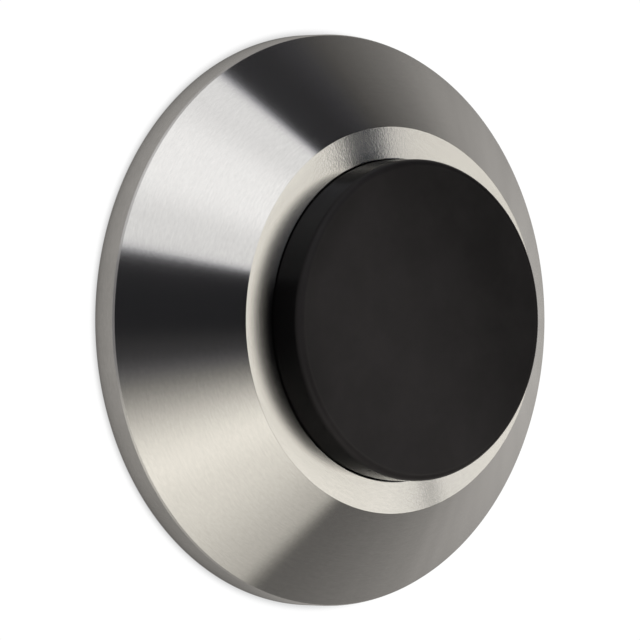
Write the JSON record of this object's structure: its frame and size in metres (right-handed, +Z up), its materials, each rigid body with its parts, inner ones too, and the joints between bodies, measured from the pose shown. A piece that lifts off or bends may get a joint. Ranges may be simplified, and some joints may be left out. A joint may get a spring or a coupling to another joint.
{
  "type": "wall door stop",
  "caption": "Round wall door stop: a turned conical stainless steel rose with a black rubber buffer in its pocket, screwed to the wall from under the buffer.",
  "frame": {"origin": "centre of the rose's back face, on the wall", "axes": "+Y into the wall along the common axis of all pieces, the buffer faces -Y, +Z up the wall"},
  "size_m": [0.06, 0.0607, 0.06],
  "materials": {
    "brushed_stainless": "turned and brushed round the axis",
    "black_rubber": "matt moulded",
    "zinc_plated_steel": "bright zinc plated"
  },
  "bodies": {
    "root": {"rose": "brushed_stainless", "rubber_buffer": "black_rubber", "fixing_screw": "zinc_plated_steel"}
  },
  "joints": []
}
